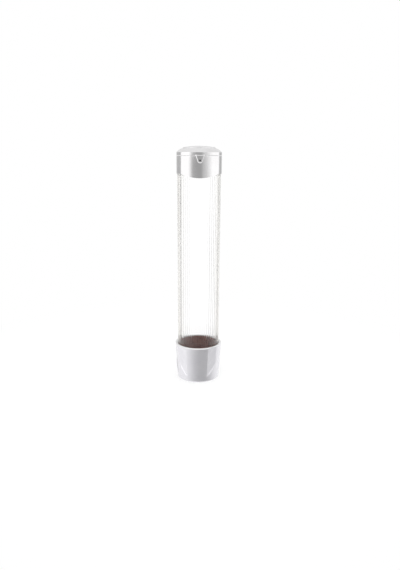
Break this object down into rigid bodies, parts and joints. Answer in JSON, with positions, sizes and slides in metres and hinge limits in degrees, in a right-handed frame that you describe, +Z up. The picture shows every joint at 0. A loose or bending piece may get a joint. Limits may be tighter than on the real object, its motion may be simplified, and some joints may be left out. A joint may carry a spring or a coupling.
{
  "type": "cup dispenser",
  "caption": "Wall-hung cup dispenser: clear ribbed tube, hinged silver lid on a ring, flared pale collar over a brown release carrier with sprung pawls, hung on T-slot brackets.",
  "frame": {"origin": "on the tube's axis, in the plane of the collar's bottom edge, where the cups come out", "axes": "+Z up along the tube, -Y to the front where the lid's tongue is, +Y to the wall"},
  "size_m": [0.0962, 0.1092, 0.4752],
  "materials": {
    "silver_cap": "bright silver finish, smooth",
    "clear_plastic": "clear moulded plastic with fine ribs inside",
    "collar_plastic": "pale silver-grey plastic, satin",
    "brown_plastic": "dark brown moulded plastic, satin",
    "pawl_plastic": "dark brown moulded plastic, smooth",
    "dark_plastic": "near black, glossy",
    "steel": "bright drawn steel",
    "bracket_plastic": "pale grey moulded plastic",
    "foam_tape": "white foam tape"
  },
  "bodies": {
    "wall_mounts": {"upper_wall_bracket": "bracket_plastic", "lower_wall_bracket": "bracket_plastic", "upper_tape_pad": "foam_tape", "lower_tape_pad": "foam_tape"},
    "dispenser": {"cap_ring": "silver_cap", "catch_stud": "dark_plastic", "ring_screws": "steel", "tube": "clear_plastic", "collar": "collar_plastic", "collar_screws": "steel", "release_carrier": "brown_plastic", "lid_hinge_pin": "steel", "pawl_pin_1": "steel", "pawl_spring_1": "steel", "pawl_pin_2": "steel", "pawl_spring_2": "steel", "pawl_pin_3": "steel", "pawl_spring_3": "steel", "pawl_pin_4": "steel", "pawl_spring_4": "steel"},
    "lid": {"lid": "silver_cap", "lid_inlay": "silver_cap"},
    "pawl_1": {"cup_pawl_1": "pawl_plastic"},
    "pawl_2": {"cup_pawl_2": "pawl_plastic"},
    "pawl_3": {"cup_pawl_3": "pawl_plastic"},
    "pawl_4": {"cup_pawl_4": "pawl_plastic"}
  },
  "joints": [
    {"name": "lift_off", "type": "slide", "parent": "wall_mounts", "child": "dispenser", "axis": [0, 0, 1], "range_m": [0, 0.024]},
    {"name": "lid_hinge", "type": "hinge", "parent": "dispenser", "child": "lid", "pos_m": [0, 0.046, 0.46215], "axis": [-1, 0, 0], "range_deg": [0, 90]},
    {"name": "pawl_1_swing", "type": "hinge", "parent": "dispenser", "child": "pawl_1", "pos_m": [0.02885, 0.02885, 0.046], "axis": [0.7071, -0.7071, 0], "range_deg": [0, 75], "stiffness_Nm_per_rad": 0.004, "springref_deg": -34.38, "deforming": ["pawl_spring_1"]},
    {"name": "pawl_2_swing", "type": "hinge", "parent": "dispenser", "child": "pawl_2", "pos_m": [-0.02885, 0.02885, 0.046], "axis": [0.7071, 0.7071, 0], "range_deg": [0, 75], "stiffness_Nm_per_rad": 0.004, "springref_deg": -34.38, "deforming": ["pawl_spring_2"]},
    {"name": "pawl_3_swing", "type": "hinge", "parent": "dispenser", "child": "pawl_3", "pos_m": [-0.02885, -0.02885, 0.046], "axis": [-0.7071, 0.7071, 0], "range_deg": [0, 75], "stiffness_Nm_per_rad": 0.004, "springref_deg": -34.38, "deforming": ["pawl_spring_3"]},
    {"name": "pawl_4_swing", "type": "hinge", "parent": "dispenser", "child": "pawl_4", "pos_m": [0.02885, -0.02885, 0.046], "axis": [-0.7071, -0.7071, 0], "range_deg": [0, 75], "stiffness_Nm_per_rad": 0.004, "springref_deg": -34.38, "deforming": ["pawl_spring_4"]}
  ]
}
